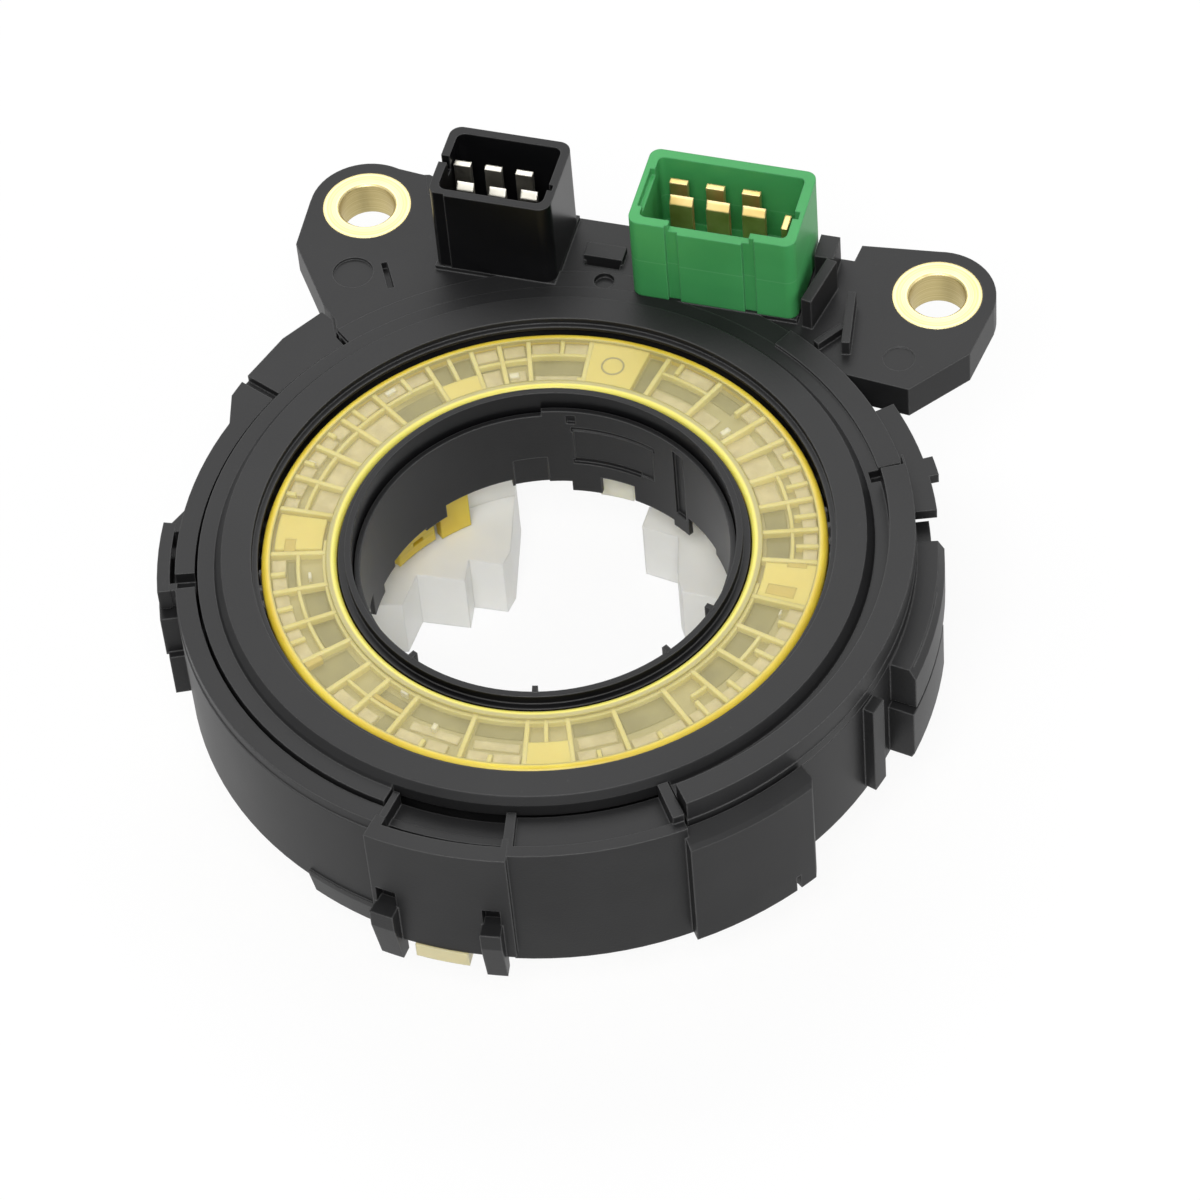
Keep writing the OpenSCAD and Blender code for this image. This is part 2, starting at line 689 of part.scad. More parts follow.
module drive_gear() {
  color("#e8e4d8") difference() {
    translate([0, 0, gear_z]) linear_extrude(gear_t) gear_outline(drive_pitch_r, drive_teeth);
    translate([0, 0, gear_z - 1]) cylinder(r = stand_r, h = gear_t + 2);
  }
}

module rotor_plate() {
  color("#f2f2ee") {
    tube(stand_r, plate_r, plate_low, plate_z);
    tube(stand_r, stand_out, plate_z - merge, gear_z);
    left_tower();
    right_tower();
    for (a = [-60, -120])
      rotate([0, 0, a]) translate([drive_pin_pcr, 0, tower_z]) cylinder(r = drive_pin_r, h = plate_low - tower_z + merge, $fn = 48);
  }
}

left_steps = [
  [-30, 3], [-21.8, 4.9], [-21.4, 10], [-15, 10.4], [-15.5, 13.8], [-11, 14], [-10.6, 16.4], [-13, 27.5],
  [-30, 27.5]
];
right_steps = [[5, 27.3], [4.9, 24], [9.9, 23.2], [11.6, 16.4], [12.6, 14.6], [17, 14.4], [26, 14.4], [26, 27.3]];

module tower(steps, socket_x, socket_y) {
  difference() {
    union() {
      translate([0, 0, tower_z]) linear_extrude(9.7) polygon(steps);
      intersection() {
        translate([0, 0, tower_z]) linear_extrude(plate_low - tower_z + merge) polygon(steps);
        tube(stand_out + 0.3, 60, tower_z, plate_low + merge);
      }
    }
    block(socket_x, socket_y, [tower_z - 1, tower_z + 8]);
  }
}

module left_tower() { tower(left_steps, [-28.5, -17], [15.5, 26]); }
module right_tower() { tower(right_steps, [12.9, 24.5], [18.8, 25.8]); }

module tower_pins(x_list, y) {
  for (x = x_list) block([x - 0.5, x + 0.5], [y - 0.4, y + 0.4], [tower_z + 1.5, tower_z + 8]);
}

module airbag_pins() {
  color("#d9b768") tower_pins([14.3, 17.2, 20.1, 23], 20.3);
}

module switch_pins() {
  color("#c9c6bd") tower_pins([-26.5, -23.5, -20.5], 17.2);
}

// Measuring gears

module measuring_gear(distance, angle, pitch, teeth) {
  rotate([0, 0, angle]) translate([distance, 0, 0]) rotate([0, 0, -angle]) difference() {
    union() {
      translate([0, 0, gear_z]) rotate([0, 0, mesh_phase(angle, teeth)])
        linear_extrude(gear_t) gear_outline(pitch, teeth);
      translate([0, 0, gear_z - 0.4]) cylinder(r = 3.4, h = hub_top - gear_z + 0.4, $fn = 48);
    }
    translate([0, 0, -10]) cylinder(r = post_r + 0.05, h = 10 + floor_z + post_h + 0.15, $fn = 48);
    translate([0, 0, hub_top - magnet_h]) cylinder(r = magnet_r + 0.02, h = 3, $fn = 48);
  }
}

module magnet(distance, angle) {
  color("#6d6f73") rotate([0, 0, angle]) translate([distance, 0, hub_top - magnet_h])
    cylinder(r = magnet_r, h = magnet_h, $fn = 48);
}

module gear_a() { color("#f0eee6") measuring_gear(centre_a, angle_a, pitch_a, teeth_a); }
module gear_b() { color("#f0eee6") measuring_gear(centre_b, angle_b, pitch_b, teeth_b); }
module magnet_a() { magnet(centre_a, angle_a); }
module magnet_b() { magnet(centre_b, angle_b); }

rear_cover();
drum_housing();
front_cover();
bush_left();
bush_right();
black_header();
black_header_pins();
green_header();
green_header_pins();
green_side_contact();
sensor_board();
sensor_chips();
terminal_carrier();
flat_cable();
upper_slip_sheet();
rotor_ring();
hub_sleeve();
inner_sleeve();
drive_gear();
rotor_plate();
lower_slip_sheet();
cable_clip();
airbag_pins();
switch_pins();
gear_a();
magnet_a();
gear_b();
magnet_b();
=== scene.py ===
from math import cos, sin, radians
import bmesh
import bpy
from mathutils import Matrix, Vector


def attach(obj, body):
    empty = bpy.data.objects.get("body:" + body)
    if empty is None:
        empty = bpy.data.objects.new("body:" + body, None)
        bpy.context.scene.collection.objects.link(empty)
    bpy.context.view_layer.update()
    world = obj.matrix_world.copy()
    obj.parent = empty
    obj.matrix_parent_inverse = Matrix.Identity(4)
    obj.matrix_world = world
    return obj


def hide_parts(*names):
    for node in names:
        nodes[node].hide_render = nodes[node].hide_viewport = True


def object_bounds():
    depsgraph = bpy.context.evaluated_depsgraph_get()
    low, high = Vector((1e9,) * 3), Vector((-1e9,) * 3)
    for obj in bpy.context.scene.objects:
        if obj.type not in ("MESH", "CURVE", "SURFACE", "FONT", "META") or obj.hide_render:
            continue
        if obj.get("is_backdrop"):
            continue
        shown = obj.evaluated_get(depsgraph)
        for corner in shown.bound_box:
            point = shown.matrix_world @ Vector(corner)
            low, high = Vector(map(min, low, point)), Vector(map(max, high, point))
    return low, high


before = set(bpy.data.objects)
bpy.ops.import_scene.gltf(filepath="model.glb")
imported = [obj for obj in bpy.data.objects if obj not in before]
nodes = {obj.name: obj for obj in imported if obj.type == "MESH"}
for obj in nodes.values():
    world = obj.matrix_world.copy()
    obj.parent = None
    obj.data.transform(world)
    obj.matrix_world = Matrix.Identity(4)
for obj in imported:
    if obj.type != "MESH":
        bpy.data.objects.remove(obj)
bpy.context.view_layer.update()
mm = 0.001


def newObject(name, mesh, material, body):
    piece = bpy.data.objects.new(name, mesh)
    bpy.context.scene.collection.objects.link(piece)
    mesh.materials.clear()
    mesh.materials.append(material)
    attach(piece, body)
    return piece


def smoothByAngle(mesh, degrees=35):
    mesh.set_sharp_from_angle(angle=radians(degrees))
    for face in mesh.polygons:
        face.use_smooth = True


def addRevolved(bm, profile, start=0.0, end=360.0, stepDegrees=3.0):
    full = abs(end - start) >= 360
    count = max(2, int(round((end - start) / stepDegrees)))
    rows = count if full else count + 1
    rings = []
    for i in range(rows):
        a = radians(start + (end - start) * i / count)
        rings.append([bm.verts.new((r * cos(a) * mm, r * sin(a) * mm, z * mm)) for r, z in profile])
    n = len(profile)
    for i in range(count):
        one, two = rings[i], rings[(i + 1) % rows]
        for j in range(n):
            k = (j + 1) % n
            bm.faces.new((one[j], two[j], two[k], one[k]))
    if not full:
        bm.faces.new(list(rings[0]))
        bm.faces.new(list(reversed(rings[-1])))
    return rings


def finishMesh(bm, name):
    bmesh.ops.recalc_face_normals(bm, faces=bm.faces)
    mesh = bpy.data.meshes.new(name)
    bm.to_mesh(mesh)
    bm.free()
    smoothByAngle(mesh)
    return mesh


def newGroup(name, inputs, outputs):
    group = bpy.data.node_groups.new(name, "ShaderNodeTree")
    for socketName, kind, value in inputs:
        socket = group.interface.new_socket(name=socketName, in_out="INPUT", socket_type=kind)
        socket.default_value = value
    for socketName, kind in outputs:
        group.interface.new_socket(name=socketName, in_out="OUTPUT", socket_type=kind)
    return group, group.nodes.new("NodeGroupInput"), group.nodes.new("NodeGroupOutput")


def mathNode(tree, operation, first, second=None, clamp=False):
    node = tree.nodes.new("ShaderNodeMath")
    node.operation = operation
    node.use_clamp = clamp
    for index, value in enumerate((first, second)):
        if value is None:
            continue
        if isinstance(value, (int, float)):
            node.inputs[index].default_value = value
        else:
            tree.links.new(value, node.inputs[index])
    return node.outputs[0]


def objectCoordinates(group):
    return group.nodes.new("ShaderNodeTexCoord").outputs["Object"]


def radiusOf(group, split):  # distance from the z axis of a point that is split in x, y and z
    squares = [mathNode(group, "POWER", split.outputs[i], 2.0) for i in (0, 1)]
    return mathNode(group, "SQRT", mathNode(group, "ADD", squares[0], squares[1]))


def makeMouldGrain():
    group, gin, gout = newGroup(
        "mouldGrain",
        [("Grain Size", "NodeSocketFloat", 0.0003), ("Cloud Size", "NodeSocketFloat", 0.012),
         ("Speck Size", "NodeSocketFloat", 0.002)],
        [("Height", "NodeSocketFloat"), ("Cloud", "NodeSocketFloat"), ("Specks", "NodeSocketFloat")])
    links = group.links
    coordinates = objectCoordinates(group)

    def noise(sizeName, detail, rough):
        node = group.nodes.new("ShaderNodeTexNoise")
        node.inputs["Detail"].default_value = detail
        node.inputs["Roughness"].default_value = rough
        links.new(coordinates, node.inputs["Vector"])
        links.new(mathNode(group, "DIVIDE", 1.0, gin.outputs[sizeName]), node.inputs["Scale"])
        return node.outputs["Fac"]

    links.new(noise("Grain Size", 2.0, 0.6), gout.inputs["Height"])
    links.new(noise("Cloud Size", 3.0, 0.5), gout.inputs["Cloud"])
    peaks = mathNode(group, "SUBTRACT", noise("Speck Size", 4.0, 0.7), 0.66)
    links.new(mathNode(group, "MULTIPLY", peaks, 9.0, True), gout.inputs["Specks"])
    return group


def makeRoundedEdge():
    group, gin, gout = newGroup(
        "roundedEdge", [("Mask Gain", "NodeSocketFloat", 6.0)],
        [("Normal", "NodeSocketVector"), ("Edge", "NodeSocketFloat")])
    links = group.links
    bevel = group.nodes.new("ShaderNodeBevel")
    bevel.samples = 6
    bevel.inputs["Radius"].default_value = 0.00032
    plain = group.nodes.new("ShaderNodeNewGeometry")
    dot = group.nodes.new("ShaderNodeVectorMath")
    dot.operation = "DOT_PRODUCT"
    links.new(bevel.outputs["Normal"], dot.inputs[0])
    links.new(plain.outputs["Normal"], dot.inputs[1])
    off = mathNode(group, "SUBTRACT", 1.0, dot.outputs["Value"])
    links.new(bevel.outputs["Normal"], gout.inputs["Normal"])
    links.new(mathNode(group, "MULTIPLY", off, gin.outputs["Mask Gain"], True), gout.inputs["Edge"])
    return group


def makeTurned():
    group, gin, gout = newGroup(
        "turnedLines",
        [("Centre", "NodeSocketVector", (0, 0, 0)), ("Pitch", "NodeSocketFloat", 0.00018)],
        [("Height", "NodeSocketFloat"), ("Tone", "NodeSocketFloat")])
    links = group.links
    shift = group.nodes.new("ShaderNodeVectorMath")
    shift.operation = "SUBTRACT"
    links.new(objectCoordinates(group), shift.inputs[0])
    links.new(gin.outputs["Centre"], shift.inputs[1])
    split = group.nodes.new("ShaderNodeSeparateXYZ")
    links.new(shift.outputs[0], split.inputs[0])
    across = mathNode(group, "DIVIDE", radiusOf(group, split), gin.outputs["Pitch"])
    up = mathNode(group, "DIVIDE", split.outputs[2], gin.outputs["Pitch"])
    join = group.nodes.new("ShaderNodeCombineXYZ")
    links.new(across, join.inputs[0])
    links.new(up, join.inputs[1])
    noise = group.nodes.new("ShaderNodeTexNoise")
    noise.inputs["Scale"].default_value = 1.0
    noise.inputs["Detail"].default_value = 2.0
    links.new(join.outputs[0], noise.inputs["Vector"])
    links.new(noise.outputs["Fac"], gout.inputs["Height"])
    links.new(noise.outputs["Fac"], gout.inputs["Tone"])
    return group


def makePartingLine():  # 1 on the fine line that the mould's halves leave round a piece
    group, gin, gout = newGroup(
        "partingLine", [("Height", "NodeSocketFloat", 0.0), ("Width", "NodeSocketFloat", 0.00012)],
        [("Line", "NodeSocketFloat")])
    split = group.nodes.new("ShaderNodeSeparateXYZ")
    group.links.new(objectCoordinates(group), split.inputs[0])
    away = mathNode(group, "ABSOLUTE", mathNode(group, "SUBTRACT", split.outputs[2], gin.outputs["Height"]))
    share = mathNode(group, "DIVIDE", away, gin.outputs["Width"])
    group.links.new(mathNode(group, "SUBTRACT", 1.0, share, True), gout.inputs["Line"])
    return group


def makeLevelBand():  # 1 on the level top of the ring between its two rounded edges
    group, gin, gout = newGroup(
        "levelBand", [("Inner", "NodeSocketFloat", 0.02622), ("Outer", "NodeSocketFloat", 0.0341),
                      ("Lowest", "NodeSocketFloat", 0.005)],
        [("Level", "NodeSocketFloat"), ("Inner Side", "NodeSocketFloat")])
    links = group.links
    split = group.nodes.new("ShaderNodeSeparateXYZ")
    links.new(objectCoordinates(group), split.inputs[0])
    radius = radiusOf(group, split)
    cellMiddle = 0.03

    def beyond(first, second):  # 1 where first is larger than second, over a soft edge of 0.25 mm
        return mathNode(group, "MULTIPLY", mathNode(group, "SUBTRACT", first, second), 4000.0, True)

    outsideInner = beyond(radius, gin.outputs["Inner"])
    insideOuter = beyond(gin.outputs["Outer"], radius)
    high = beyond(split.outputs[2], gin.outputs["Lowest"])
    between = mathNode(group, "MULTIPLY", outsideInner, insideOuter)
    links.new(mathNode(group, "MULTIPLY", between, high), gout.inputs["Level"])
    links.new(mathNode(group, "MULTIPLY", beyond(cellMiddle, radius), high), gout.inputs["Inner Side"])
    return group


mouldGrain = makeMouldGrain()
levelBand = makeLevelBand()
partingLine = makePartingLine()
roundedEdge = makeRoundedEdge()
turnedLines = makeTurned()


def newMaterial(name):
    material = bpy.data.materials.new(name)
    material.use_nodes = True
    tree = material.node_tree
    tree.nodes.clear()
    output = tree.nodes.new("ShaderNodeOutputMaterial")
    shader = tree.nodes.new("ShaderNodeBsdfPrincipled")
    tree.links.new(shader.outputs[0], output.inputs["Surface"])
    return material, tree, shader


def addGroup(tree, group, **values):
    node = tree.nodes.new("ShaderNodeGroup")
    node.node_tree = group
    for key, value in values.items():
        node.inputs[key].default_value = value
    return node


def ramp(tree, factor, stops):
    node = tree.nodes.new("ShaderNodeValToRGB")
    elements = node.color_ramp.elements
    while len(elements) < len(stops):
        elements.new(0.5)
    for element, (position, colour) in zip(elements, stops):
        element.position = position
        element.color = (*colour, 1.0)
    tree.links.new(factor, node.inputs["Fac"])
    return node.outputs["Color"]


def remap(tree, factor, low, high):
    node = tree.nodes.new("ShaderNodeMapRange")
    node.inputs["To Min"].default_value = low
    node.inputs["To Max"].default_value = high
    tree.links.new(factor, node.inputs["Value"])
    return node.outputs["Result"]


def mixColour(tree, factor, first, second):
    node = tree.nodes.new("ShaderNodeMix")
    node.data_type = "RGBA"
    for socket, value in (("Factor", factor), ("A", first), ("B", second)):
        target = [s for s in node.inputs if s.name == socket and s.enabled][0]
        if isinstance(value, tuple):
            target.default_value = (*value, 1.0)
        else:
            tree.links.new(value, target)
    return [s for s in node.outputs if s.enabled][0]


def tinted(tree, mask, share, below, colour):  # lays a share of the colour over what is below
    return mixColour(tree, mathNode(tree, "MULTIPLY", mask, share), below, colour)


def bumped(tree, shader, edge, height, strength, distance):
    bump = tree.nodes.new("ShaderNodeBump")
    bump.inputs["Strength"].default_value = strength
    bump.inputs["Distance"].default_value = distance
    tree.links.new(height, bump.inputs["Height"])
    tree.links.new(edge.outputs["Normal"], bump.inputs["Normal"])
    tree.links.new(bump.outputs["Normal"], shader.inputs["Normal"])


mouldedSurface = {"cloud": 0.014, "edgeGain": 5.0, "dust": 0.05, "partingAmount": 0.6, "bumpDepth": 0.00004}


def mouldedFinish(name, look):
    material, tree, shader = newMaterial(name)
    grain = addGroup(tree, mouldGrain, **{"Grain Size": look["grain"], "Cloud Size": mouldedSurface["cloud"]})
    edge = addGroup(tree, roundedEdge, **{"Mask Gain": mouldedSurface["edgeGain"]})
    base = ramp(tree, grain.outputs["Cloud"], [(0.3, look["dark"]), (0.72, look["light"])])
    # painted light and shade on rounded edges: the finish's edge colour is laid over them, lighter than the
    # body on most finishes and a little darker on white
    paintedEdgeShading = tinted(tree, edge.outputs["Edge"], look["edgeShadingShare"], base, look["edge"])
    # dust specks in the edge colour, laid over the painted edge light and shade
    dustAndEdgeShading = tinted(tree, grain.outputs["Specks"], mouldedSurface["dust"], paintedEdgeShading, look["edge"])
    if look.get("partingHeight"):
        line = addGroup(tree, partingLine, Height=look["partingHeight"])
        dustAndEdgeShading = tinted(tree, line.outputs["Line"], mouldedSurface["partingAmount"], dustAndEdgeShading, look["edge"])
    tree.links.new(dustAndEdgeShading, shader.inputs["Base Color"])
    tree.links.new(remap(tree, grain.outputs["Cloud"], look["rough"] - 0.05, look["rough"] + 0.06),
                   shader.inputs["Roughness"])
    shader.inputs["Specular IOR Level"].default_value = look["specular"]
    if look.get("scatter"):
        shader.inputs["Subsurface Weight"].default_value = look["scatter"]
        shader.inputs["Subsurface Radius"].default_value = look["scatterRadius"]
        shader.inputs["Subsurface Scale"].default_value = 0.001
    bumped(tree, shader, edge, grain.outputs["Height"], look["bump"], mouldedSurface["bumpDepth"])
    return material


finishes = {
    # edge: the colour painted over rounded edges as painted light and shade, at the share given beside it
    "blackMoulding": dict(dark=(0.011, 0.011, 0.0115), light=(0.019, 0.019, 0.0195), edge=(0.17, 0.17, 0.17),
                          edgeShadingShare=0.5, rough=0.42, grain=0.00028, bump=0.35, specular=0.2),
    "blackGloss": dict(dark=(0.003, 0.003, 0.0035), light=(0.007, 0.007, 0.0075), edge=(0.16, 0.16, 0.16),
                       edgeShadingShare=0.5, rough=0.3, grain=0.0006, bump=0.08, specular=0.16),
    "greenMoulding": dict(dark=(0.050, 0.300, 0.090), light=(0.070, 0.370, 0.115), edge=(0.14, 0.44, 0.21),
                          edgeShadingShare=0.5, rough=0.42, grain=0.0004, bump=0.12, specular=0.2,
                          partingHeight=0.0123, scatter=0.15, scatterRadius=(0.4, 1.0, 0.4)),
    "whiteMoulding": dict(dark=(0.86, 0.86, 0.83), light=(0.92, 0.92, 0.89), edge=(0.80, 0.80, 0.77),
                          edgeShadingShare=0.5, rough=0.36, grain=0.0005, bump=0.08, specular=0.5,
                          scatter=0.25, scatterRadius=(1.2, 1.1, 0.9)),
    "naturalMoulding": dict(dark=(0.62, 0.55, 0.30), light=(0.74, 0.67, 0.40), edge=(0.85, 0.80, 0.55),
                            edgeShadingShare=0.5, rough=0.36, grain=0.0004, bump=0.08, specular=0.5,
                            scatter=0.25, scatterRadius=(1.2, 1.0, 0.5)),
    "boardGreen": dict(dark=(0.02, 0.11, 0.05), light=(0.03, 0.15, 0.07), edge=(0.35, 0.30, 0.12),
                       edgeShadingShare=0.5, rough=0.34, grain=0.0008, bump=0.05, specular=0.5),
    "cableFoil": dict(dark=(0.30, 0.16, 0.05), light=(0.42, 0.24, 0.08), edge=(0.6, 0.4, 0.2),
                      edgeShadingShare=0.3, rough=0.3, grain=0.001, bump=0.05, specular=0.5),
    "slipSheet": dict(dark=(0.55, 0.56, 0.55), light=(0.66, 0.66, 0.64), edge=(0.8, 0.8, 0.8),
                      edgeShadingShare=0.3, rough=0.4, grain=0.001, bump=0.05, specular=0.5),
}
materials = {name: mouldedFinish(name, look) for name, look in finishes.items()}


def metalFinish(name, look, centre=None):
    material, tree, shader = newMaterial(name)
    edge = addGroup(tree, roundedEdge, **{"Mask Gain": 5.0})
    grain = addGroup(tree, mouldGrain, **{"Grain Size": look["grain"], "Cloud Size": 0.004})
    if centre is None:
        height, tone = grain.outputs["Height"], grain.outputs["Cloud"]
    else:
        turned = addGroup(tree, turnedLines, Centre=centre)
        height, tone = turned.outputs["Height"], turned.outputs["Tone"]
    base = ramp(tree, tone, [(0.3, look["dark"]), (0.7, look["light"])])
    # painted highlight: rounded edges are painted lighter in the edge colour
    bright = tinted(tree, edge.outputs["Edge"], 0.4, base, look["edge"])
    tree.links.new(bright, shader.inputs["Base Color"])
    shader.inputs["Metallic"].default_value = 1.0
    tree.links.new(remap(tree, grain.outputs["Cloud"], look["rough"] - 0.06, look["rough"] + 0.08),
                   shader.inputs["Roughness"])
    bumped(tree, shader, edge, height, look["bump"], 0.00003)
    return material


earX, earY = 0.038, 0.05085
brassLook = dict(dark=(0.50, 0.40, 0.16), light=(0.70, 0.60, 0.32), edge=(0.86, 0.78, 0.50), rough=0.4,
                 grain=0.0005, bump=0.25)
materials["brassLeft"] = metalFinish("brassLeft", brassLook, (-earX, earY, 0.0))
materials["brassRight"] = metalFinish("brassRight", brassLook, (earX, earY, 0.0))
materials["tinned"] = metalFinish("tinned", dict(dark=(0.48, 0.46, 0.40), light=(0.70, 0.68, 0.60),
                                                 edge=(0.85, 0.84, 0.78), rough=0.4, grain=0.0004, bump=0.15))
materials["gilt"] = metalFinish("gilt", dict(dark=(0.66, 0.46, 0.16), light=(0.86, 0.66, 0.30),
                                             edge=(0.96, 0.86, 0.56), rough=0.46, grain=0.0004, bump=0.15))
materials["magnet"] = metalFinish("magnet", dict(dark=(0.10, 0.10, 0.11), light=(0.16, 0.16, 0.17),
                                                 edge=(0.3, 0.3, 0.3), rough=0.45, grain=0.0004, bump=0.2))


def amberFinish(name, look):
    material, tree, shader = newMaterial(name)
    grain = addGroup(tree, mouldGrain, **{"Grain Size": 0.0006, "Cloud Size": look["cloud"]})
    edge = addGroup(tree, roundedEdge, **{"Mask Gain": 5.0})
    base = ramp(tree, grain.outputs["Cloud"], [(0.32, look["dark"]), (0.68, look["light"])])
    if look.get("levelShadeColour"):  # painted shade and light: each band's level top is painted dull and darker, and its rounded inner edge a bright, deep gold, as light falls on them
        bands = addGroup(tree, levelBand)
        base = mixColour(tree, bands.outputs["Inner Side"], base, look["innerEdgeLitColour"])
        base = mixColour(tree, bands.outputs["Level"], base, look["levelShadeColour"])
    # painted highlight: rounded edges are painted lighter in the edge colour
    bright = tinted(tree, edge.outputs["Edge"], look["edgeShadingShare"], base, look["edge"])
    tree.links.new(bright, shader.inputs["Base Color"])
    tree.links.new(remap(tree, grain.outputs["Cloud"], look["rough"] - 0.05, look["rough"] + 0.08),
                   shader.inputs["Roughness"])
    if look.get("cover"):  # share of each face of the skin that isn't see-through
        tree.links.new(remap(tree, grain.outputs["Cloud"], look["cover"] - 0.03, look["cover"] + 0.05),
                       shader.inputs["Alpha"])
    shader.inputs["Subsurface Weight"].default_value = look["scatter"]
    shader.inputs["Subsurface Radius"].default_value = (1.5, 1.2, 0.3)
    shader.inputs["Subsurface Scale"].default_value = 0.001
    bumped(tree, shader, edge, grain.outputs["Height"], 0.1, 0.00003)
    return material


amberLooks = {
    "amberBody": dict(dark=(0.68, 0.49, 0.04), light=(0.80, 0.62, 0.07), edge=(0.92, 0.80, 0.25),
                      # the last two colours are painted shade on the level top and painted light on the
                      # rounded inner edge
                      edgeShadingShare=0.12, rough=0.32, scatter=0.4, cloud=0.009, levelShadeColour=(0.44, 0.385, 0.14),
                      innerEdgeLitColour=(0.84, 0.74, 0.15)),
    # amberRibs is painted paler and brighter than the body, a painted glow standing in for light scattered
    # inside the solid ribs
    "amberRibs": dict(dark=(0.80, 0.67, 0.20), light=(0.92, 0.80, 0.33), edge=(0.95, 0.85, 0.45),
                      edgeShadingShare=0.2, rough=0.4, scatter=0.4, cloud=0.006),
    "amberPads": dict(dark=(0.80, 0.65, 0.13), light=(0.88, 0.74, 0.19), edge=(0.92, 0.80, 0.32),
                      edgeShadingShare=0.2, rough=0.4, scatter=0.3, cloud=0.008),
    # amberCells is painted a darker olive, standing in for the shade inside the hollow cells
    "amberCells": dict(dark=(0.37, 0.325, 0.135), light=(0.51, 0.45, 0.21), edge=(0.52, 0.46, 0.22),
                       edgeShadingShare=0.3, rough=0.45, scatter=0.2, cloud=0.004),
    "amberShade": dict(dark=(0.17, 0.15, 0.05), light=(0.26, 0.23, 0.085), edge=(0.40, 0.36, 0.16),
                       edgeShadingShare=0.3, rough=0.45, scatter=0.2, cloud=0.003),
    # amberDeep is a darker deep gold, painted shade along pad and rib edges and in recesses
    "amberDeep": dict(dark=(0.58, 0.42, 0.05), light=(0.68, 0.50, 0.08), edge=(0.78, 0.62, 0.16),
                      edgeShadingShare=0.2, rough=0.4, scatter=0.3, cloud=0.003),
    "amberBlocks": dict(dark=(0.52, 0.44, 0.24), light=(0.74, 0.64, 0.38), edge=(0.80, 0.71, 0.42),
                        edgeShadingShare=0.3, rough=0.4, scatter=0.3, cloud=0.0025),
    "amberGlints": dict(dark=(0.86, 0.80, 0.58), light=(0.95, 0.91, 0.72), edge=(0.96, 0.94, 0.8),
                        edgeShadingShare=0.3, rough=0.3, scatter=0.3, cloud=0.003),
    "amberPale": dict(dark=(0.74, 0.73, 0.60), light=(0.82, 0.81, 0.70), edge=(0.9, 0.9, 0.8),
                      edgeShadingShare=0.3, rough=0.35, scatter=0.3, cloud=0.003),
    "amberSkin": dict(dark=(0.53, 0.465, 0.19), light=(0.66, 0.585, 0.26), edge=(0.80, 0.70, 0.26),
                      edgeShadingShare=0.3, rough=0.24, scatter=0.0, cloud=0.007, cover=0.17),
}
for amberName, amberLook in amberLooks.items():
    materials[amberName] = amberFinish(amberName, amberLook)
print("finishes made", len(materials))

nodeFinish = {
    "rear_cover": "blackMoulding", "drum_housing": "blackMoulding", "hub_sleeve": "blackGloss",
    "inner_sleeve": "blackMoulding", "black_header": "blackGloss", "green_header": "greenMoulding",
    "front_cover": "naturalMoulding", "bush_left": "brassLeft", "bush_right": "brassRight",
    "black_header_pins": "tinned", "green_header_pins": "gilt", "green_side_contact": "gilt",
    "sensor_board": "boardGreen", "sensor_chips": "blackGloss", "terminal_carrier": "naturalMoulding",
    "flat_cable": "cableFoil", "upper_slip_sheet": "slipSheet", "lower_slip_sheet": "slipSheet",
    "drive_gear": "whiteMoulding", "rotor_plate": "whiteMoulding", "cable_clip": "naturalMoulding",
    "airbag_pins": "gilt", "switch_pins": "gilt", "gear_a": "whiteMoulding", "gear_b": "whiteMoulding",
    "magnet_a": "magnet", "magnet_b": "magnet", "rotor_ring": "amberBody",
}
for nodeName, finish in nodeFinish.items():
    node = nodes[nodeName]
    if not node.material_slots:
        node.data.materials.append(materials[finish])
    for materialSlot in node.material_slots:
        materialSlot.material = materials[finish]
print("CAD nodes dressed", len(nodeFinish))


amberRing = {
    "innerRadius": 25.6, "outerRadius": 35.0, "topZ": 5.7, "skin": 0.25, "lowZ": 2.9, "floorTop": 4.4,
    "ribThickness": 0.58, "innerBand": 1.35, "outerBand": 1.2, "edgeRound": 0.9, "innerRound": 0.6,
    "wallLowZ": 0.5, "tubeLowZ": -10.0, "tubeOuter": 26.8, "ribDrop": 0.3, "ribReach": 0.2, "thinShare": 0.9,
    "arcHalf": 0.22, "blockTop": 4.9, "blockInner": 31.9, "blockMiddle": 32.6, "blockGap": 0.15,
    "tabJoin": 0.4, "barbReach": 1.2, "barbLowZ": -14.1, "barbTopZ": -13.0, "barbInset": 2,
    "markRadius": 30.3, "markDirection": 88.7, "markInner": 1.25, "markOuter": 1.5, "markDepth": 0.2,
    "tubeJoin": 0.1, "floorJoin": 0.3, "floorSink": 0.05, "stubDrop": 0.05, "arcDrop": 0.1, "padDrop": 0.03,
    "goldDrop": 0.01, "glintDrop": 0.15, "shadeRise": 0.1, "skinDrop": 0.03, "skinJoin": 0.05, "paleGap": 0.05,
}
snapTabs = [(130.8, 140.4, -17.6), (-40, -30, -15.1), (-95, -85, -15.1)]  # start, end, lowest point
slitTab = {
    "start": 142.6, "end": 156.6, "slitStart": 146.8, "slitEnd": 150.6, "lowZ": -16.9, "slitLowZ": -15.5,
    "slitTopZ": -14.7, "overlap": 0.05,
}
paleTab = {"start": 81.8, "end": 91.8, "lowZ": -14.7, "join": 0.3}
bandArc = (190, 360, 27.15)
fullRibs = [8, 17, 25.6, 34.6, 43, 50.4, 64.1, 77.4, 95, 108.8, 115.2, 121.4, 131.6, 145.2, 154.4, 163.2,
            172.4, 181.6, 194.2, 204.8, 214.6, 224.7, 234.2, 241.8, 251.4, 267.7, 281.3, 291.4, 303.2,
            317.2, 326.6, 336.2, 345.4, 355.7]
